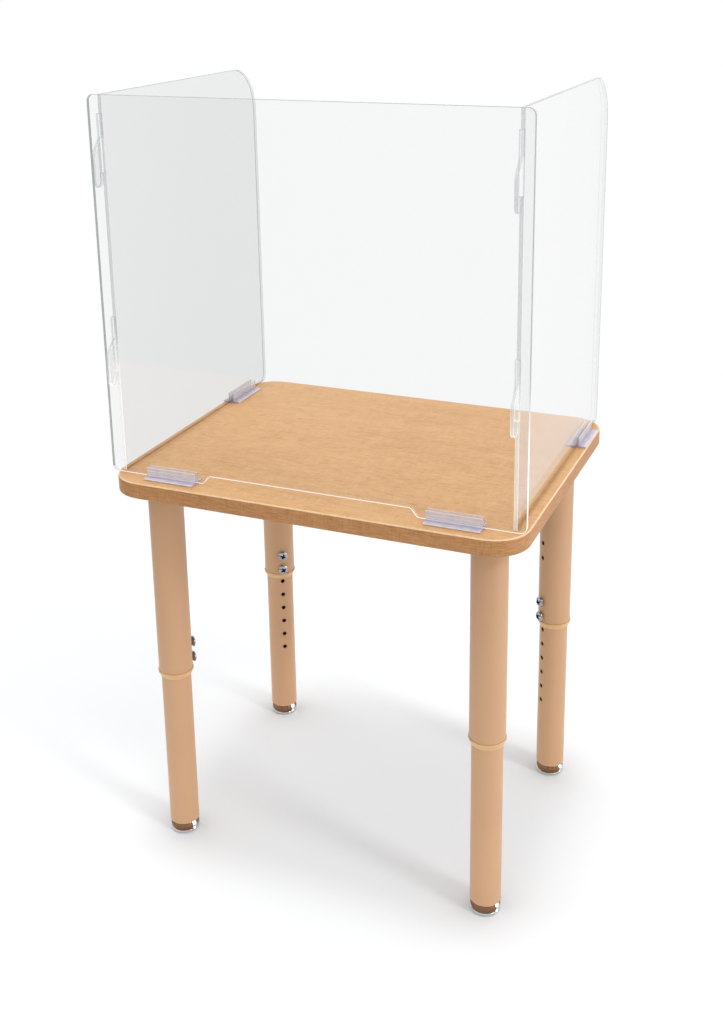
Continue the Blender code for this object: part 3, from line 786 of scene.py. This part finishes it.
def screw_mesh(name, head_r, head_h, shank_r, shank_l, thread=0.0):
    """A pan-head screw along Z, with a domed top, a rounded rim and a cross recess painted dark as shade."""
    corners = [(0, -shank_l, 0)]
    if thread:
        z = -shank_l + thread
        corners.append((shank_r * 0.3, -shank_l, 0))
        while z + thread < -thread:
            corners += [(shank_r, z + 0.3 * thread, 0), (shank_r * 0.72, z + 0.8 * thread, 0)]
            z += thread
        corners.append((shank_r * 0.8, 0, 0))
    else:
        corners += [(shank_r, -shank_l, 0), (shank_r, 0, 0)]
    profile = filleted(corners + [(head_r, 0, head_h * 0.12)])
    rim = head_h * 0.66
    head = [(0, 0, 0), (head_r, 0, 0), (head_r, rim, head_h * 0.30), (0, rim + head_r * 0.2, 0)]
    profile += filleted(head, 6)[2:-1]  # the rim's arc alone
    edge_r, edge_z = profile[-1]
    for share in (0.7, 0.5, 0.3, 0.0):
        profile.append((edge_r * share, edge_z + (head_h - edge_z) * (1 - share * share)))
    screw, cutter = revolve(name, profile, 56), cross_cutter(head_r, head_h)
    looks = [PLATED, SHADED_RECESS]
    for mat in looks:
        screw.materials.append(mat)
    # The recess walls are painted dark: painted shade.
    for polygon in cutter.polygons:
        polygon.material_index = looks.index(SHADED_RECESS)
    mesh = carved(screw, cutter)
    smooth(mesh, 30)
    return mesh


def make_legs():
    """One fine mesh of each kind of leg part, shared by the four legs."""
    lower_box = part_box("lower_tube_rear_left")
    upper_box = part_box("upper_tube_rear_left")
    lower_holes = [TOP_HOLE_Z - k * HOLE_PITCH for k in range(8)]
    upper_holes = [TOP_HOLE_Z - HOLE_PITCH, TOP_HOLE_Z, SPARE_HOLE_Z, SPARE_HOLE_Z + HOLE_PITCH]
    lower_bore, upper_bore = LOWER_R - LOWER_WALL, UPPER_R - UPPER_WALL
    lower = tube_mesh("lower_tube", LOWER_R, lower_bore, lower_box[0].z, lower_box[1].z, lower_holes)
    upper = tube_mesh("upper_tube", UPPER_R, upper_bore, upper_box[0].z, upper_box[1].z, upper_holes, WELD)
    collar, glide = collar_mesh(), glide_mesh()
    clamp = screw_mesh("clamp_screw", CLAMP_HEAD_R, CLAMP_HEAD_H, CLAMP_SHANK_R, CLAMP_SHANK_L)
    wood_screw = screw_mesh(
        "plate_screw", PLATE_HEAD_R, PLATE_HEAD_H, PLATE_SHANK_R, PLATE_SHANK_L, PLATE_THREAD
    )
    for mesh, mat in ((lower, POWDER), (upper, POWDER), (collar, COLLAR)):
        mesh.materials.clear()
        mesh.materials.append(mat)
    glide.materials.append(NICKEL)
    glide.materials.append(DOME)
    # The dome band takes the finish with the painted brown reflection and painted highlight; the rest is bright
    # nickel.
    for polygon in glide.polygons:
        polygon.material_index = 1 if DOME_LOW < polygon.center.z < DOME_HIGH else 0
    for corner in CORNERS:
        make_leg(corner, lower, upper, collar, glide, clamp, wood_screw)


def make_leg(corner, lower, upper, collar, glide, clamp, wood_screw):
    """One leg's pieces. Its holes and clamp screws face the table's middle."""
    low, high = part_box(f"glide_{corner}")
    x, y = (low.x + high.x) / 2, (low.y + high.y) / 2
    inward_x, inward_y = -math.copysign(math.cos(HOLE_AZIMUTH), x), -math.copysign(math.sin(HOLE_AZIMUTH), y)
    turn = math.atan2(inward_y, inward_x)
    upright = Matrix.Translation((x, y, 0)) @ Matrix.Rotation(turn, 4, "Z")
    table, leg, foot = "table", f"lower_leg_{corner}", f"glide_{corner}_body"
    add_piece(f"upper_leg_{corner}", upper, table, [f"upper_tube_{corner}"], place=upright)
    add_piece(f"lower_leg_tube_{corner}", lower, leg, [f"lower_tube_{corner}"], place=upright)
    add_piece(f"bushing_{corner}", collar, table, [f"collar_{corner}"], place=upright)
    add_piece(f"foot_glide_{corner}", glide, foot, [f"glide_{corner}"], place=upright)
    seat = UPPER_R + SCREW_GAP
    for number in (1, 2):
        z = TOP_HOLE_Z - (2 - number) * HOLE_PITCH
        slant = Matrix.Rotation(CLAMP_TURNS[number] + turn * 0.7, 4, "Z")
        place = upright @ Matrix.Translation((seat, 0, z)) @ Matrix.Rotation(math.pi / 2, 4, "Y") @ slant
        name = f"clamp_screw_{corner}_{number}"
        add_piece(f"leg_screw_{corner}_{number}", clamp, table, [name], place=place)
    for number in (1, 2, 3):
        name = f"plate_screw_{corner}_{number}"
        low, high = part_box(name)
        spot = Matrix.Translation(((low.x + high.x) / 2, (low.y + high.y) / 2, low.z + PLATE_HEAD_H))
        place = spot @ Matrix.Rotation(math.pi, 4, "X") @ Matrix.Rotation(number * 1.1, 4, "Z")
        add_piece(f"wood_screw_{corner}_{number}", wood_screw, table, [name], place=place)
    node = f"mounting_plate_{corner}"
    plate = add_piece(f"leg_plate_{corner}", softened(node, 0.5 * MM), table, [node], [POWDER])
    even_out(plate)
    paint(f"leg_insert_{corner}", INSERT)


make_legs()


# --- Screen -----------------------------------------------------------------------------------------------------

HOOK_ROOT = 2 * MM
PANEL_MARGIN = 6 * MM
LOWEST_SLOT = 40 * MM
PASS_THROUGH_TOP = 60 * MM
CLIP_BASE_TOP = 2.4 * MM


def make_panel(node, thin_axis):
    """A clear sheet: polished faces, grey sawn edges, and clearer cut walls at the hooks and slots.

    The rear panel's foot is pale on its outer half. A side panel's foot is tinted dark, a painted shadow of the
    thin gap over the wood, and its front rim is grey at its outer corner only. The mesh's depth runs from 0 at
    the inner face to 1 outside.
    """
    mesh = softened(node, 0.45 * MM)
    low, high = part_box(node)
    side_panel = thin_axis == 0
    hook_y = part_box("rear_panel")[0].y - HOOK_ROOT
    depth = mesh.attributes.new("depth", "FLOAT", "POINT")
    thick = high[thin_axis] - low[thin_axis]
    shares = [(v.co[thin_axis] - low[thin_axis]) / thick for v in mesh.vertices]
    outer_face_is_low = side_panel and low.x < 0
    depth.data.foreach_set("value", [1 - share for share in shares] if outer_face_is_low else shares)
    looks = [FACE, EDGE, SLOT, ARRIS, FOOT, LIP, RIM]
    for polygon in mesh.polygons:
        spot, out = polygon.center, polygon.normal
        sideways = abs(out[thin_axis])
        if side_panel:
            cut = spot.y > hook_y
        else:
            across = low.x + PANEL_MARGIN < spot.x < high.x - PANEL_MARGIN
            cut = across and low.z + LOWEST_SLOT < spot.z < high.z - PANEL_MARGIN
        # A side panel's foot takes the brown tint: painted shadow of the gap.
        if side_panel and out.z < -0.3 and spot.z < low.z + 1 * MM:
            look = FOOT
        elif not side_panel and out.z < -0.3 and spot.z < low.z + PASS_THROUGH_TOP:
            look = LIP
        elif sideways > 0.98:
            look = FACE
        elif side_panel and out.y < -0.3:
            look = RIM
        elif sideways > 0.2:
            look = ARRIS if cut else EDGE
        else:
            look = SLOT if cut else EDGE
        polygon.material_index = looks.index(look)
    even_out(add_piece(f"clear_{node}", mesh, body_of(node), [node], looks))


def make_clip(suffix):
    """A gripper extrusion: clear walls, pale ribs and lips, a base tinted near the sheet, darker sawn ends."""
    node = f"clip_{suffix}"
    mesh = softened(node, 0.18 * MM, 1, 30)
    low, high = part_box(node)
    across = 1 if high.x - low.x > high.y - low.y else 0
    sheet_low, sheet_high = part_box("rear_panel" if across else f"{suffix.split('_')[1]}_panel")
    middle = (sheet_low[across] + sheet_high[across]) / 2
    half = max(high[across] - middle, middle - low[across])
    reach = mesh.attributes.new("reach", "FLOAT", "POINT")
    reach.data.foreach_set("value", [abs(v.co[across] - middle) / half for v in mesh.vertices])
    looks = [VINYL_WALL, VINYL_EDGE, VINYL_BASE, VINYL_END]
    for polygon in mesh.polygons:
        if polygon.center.z < low.z + CLIP_BASE_TOP and abs(polygon.normal.z) > 0.5:
            look = VINYL_BASE
        elif abs(polygon.normal[1 - across]) > 0.9:
            look = VINYL_END
        else:
            look = VINYL_WALL if abs(polygon.normal[across]) > 0.9 else VINYL_EDGE
        polygon.material_index = looks.index(look)
    even_out(add_piece(f"gripper_{suffix}", mesh, body_of(node), [node], looks))
    paint(f"adhesive_pad_{suffix}", TAPE)


make_panel("rear_panel", 1)
make_panel("left_panel", 0)
make_panel("right_panel", 0)
for suffix in ("rear_left", "rear_right", "side_left", "side_right"):
    make_clip(suffix)


# --- Camera, floor and light ------------------------------------------------------------------------------------

CAMERA_PLACE = (-0.705497, 1.67417, 1.31053)
PAN, TILT, ROLL = 0.402638, -0.280787, -0.0157848
SENSOR = 36
LENS = 45.6901171875
RISE = -0.177734375
FLOOR_RADIUS = 1.7


def camera():
    """The photograph's view: from behind the carrel, over its -X side, with the upright lines kept upright."""
    data = bpy.data.cameras.new("camera")
    cam = bpy.data.objects.new("camera", data)
    bpy.context.scene.collection.objects.link(cam)
    ahead = Vector((math.sin(PAN) * math.cos(TILT), -math.cos(PAN) * math.cos(TILT), math.sin(TILT)))
    right = Vector((-math.cos(PAN), -math.sin(PAN), 0))
    up = right.cross(ahead)
    rolled_right = right * math.cos(ROLL) + up * math.sin(ROLL)
    rolled_up = up * math.cos(ROLL) - right * math.sin(ROLL)
    turn = Matrix((rolled_right, rolled_up, -ahead)).transposed().to_4x4()
    cam.matrix_world = Matrix.Translation(CAMERA_PLACE) @ turn
    data.sensor_width = SENSOR
    data.lens = LENS
    data.shift_y = RISE
    data.clip_end = 50
    bpy.context.scene.camera = cam


def floor():
    """A pale disc that fades out before its rim."""
    sides = 96
    mesh = mesh_from("floor", circle(FLOOR_RADIUS, 0, sides), [tuple(range(sides))])
    obj = bpy.data.objects.new("floor", mesh)
    bpy.context.scene.collection.objects.link(obj)
    mat, t = new_material("pale_floor")
    place = t.place()
    colour = t.blend(t.noise(place, 40, 3.0), (0.862, 0.88, 0.898, 1), (0.872, 0.89, 0.908, 1))
    reach = t.add("ShaderNodeVectorMath", {0: place}, operation="LENGTH").outputs["Value"]
    fade = t.span(reach, FLOOR_RADIUS * 0.5, FLOOR_RADIUS, 0, 1, True)
    ground = t.add("ShaderNodeBsdfDiffuse", {"Color": colour})
    gone = t.add("ShaderNodeBsdfTransparent")
    t.output(t.mix(fade, ground, gone))
    mesh.materials.append(mat)


def sun(name, travel, energy, spread):
    data = bpy.data.lights.new(name, "SUN")
    data.energy = energy
    data.angle = math.radians(spread)
    lamp = bpy.data.objects.new(name, data)
    bpy.context.scene.collection.objects.link(lamp)
    lamp.rotation_euler = Vector(travel).to_track_quat("-Z", "Y").to_euler()


def studio():
    """White all round for the eye. What lights the carrel is a studio: bright above, most of all towards +X.

    Low down it is dim, but for the -X side and a sweep towards -Y. Reflections also see a tall strip at -X.
    """
    world = bpy.data.worlds.new("studio")
    bpy.context.scene.world = world
    world.use_nodes = True
    t = Tree(world)
    way = t.add("ShaderNodeTexCoord").outputs["Generated"]
    parts = t.add("ShaderNodeSeparateXYZ", {0: way})
    x, y, z = parts.outputs[0], parts.outputs[1], parts.outputs[2]
    level = t.maths("SQRT", t.maths("ADD", t.maths("MULTIPLY", x, x), t.maths("MULTIPLY", y, y)))
    level = t.maths("MAXIMUM", level, 0.001)
    east = t.maths("DIVIDE", x, level)
    north = t.maths("DIVIDE", y, level)
    ahead = t.maths("MULTIPLY", t.span(north, -0.5, 0.1, 1, 0, True), t.span(east, -0.53, -0.37, 0, 1, True))
    far_side = t.span(east, 0.55, 0.95, 0, 1, True)
    near_side = t.span(east, -0.95, -0.62, 1, 0, True)
    behind = t.span(north, 0.1, 0.8, 0, 1, True)
    over = t.span(z, 0.35, 0.85, 0, 1, True)
    low_side = t.maths("MULTIPLY", near_side, t.span(z, 0.2, 0.6, 1, 0, True))
    upper = t.maths("ADD", 1.02, t.maths("MULTIPLY", far_side, 0.15))
    upper = t.maths("ADD", upper, t.maths("MULTIPLY", low_side, 0.2))
    upper = t.maths("SUBTRACT", upper, t.maths("MULTIPLY", behind, 0.05))
    upper = t.maths("SUBTRACT", upper, t.maths("MULTIPLY", over, 0.1))
    lower = t.maths("ADD", 0.22, t.maths("MULTIPLY", ahead, 0.66))
    lower = t.maths("ADD", lower, near_side)
    strength = t.blend(t.span(z, -0.03, 0.06, 0, 1, True), lower, upper)
    aim = t.maths("ADD", t.maths("MULTIPLY", east, -0.96), t.maths("MULTIPLY", north, -0.28))
    tall = t.maths("MULTIPLY", t.span(z, -0.12, -0.04), t.span(z, 0.55, 0.7, 1, 0))
    strip = t.maths("MULTIPLY", t.span(aim, 0.985, 0.994, 0, 1, True), tall)
    shiny = t.add("ShaderNodeLightPath").outputs["Is Glossy Ray"]
    strength = t.maths("ADD", strength, t.maths("MULTIPLY", t.maths("MULTIPLY", strip, shiny), 5.0))
    eye = t.add("ShaderNodeLightPath").outputs["Is Camera Ray"]
    shown = t.add("ShaderNodeBackground", {"Color": (1, 1, 1, 1), "Strength": 1.0})
    lit = t.add("ShaderNodeBackground", {"Color": (1, 1, 1, 1), "Strength": strength})
    t.output(t.mix(eye, lit, shown), "ShaderNodeOutputWorld")


camera()
floor()
studio()
sun("overhead", travel=(0, 0, -1), energy=0.62, spread=11)
sun("key", travel=(0.74, -0.2, -0.64), energy=0.6, spread=11)
bpy.context.scene.view_settings.view_transform = "Standard"
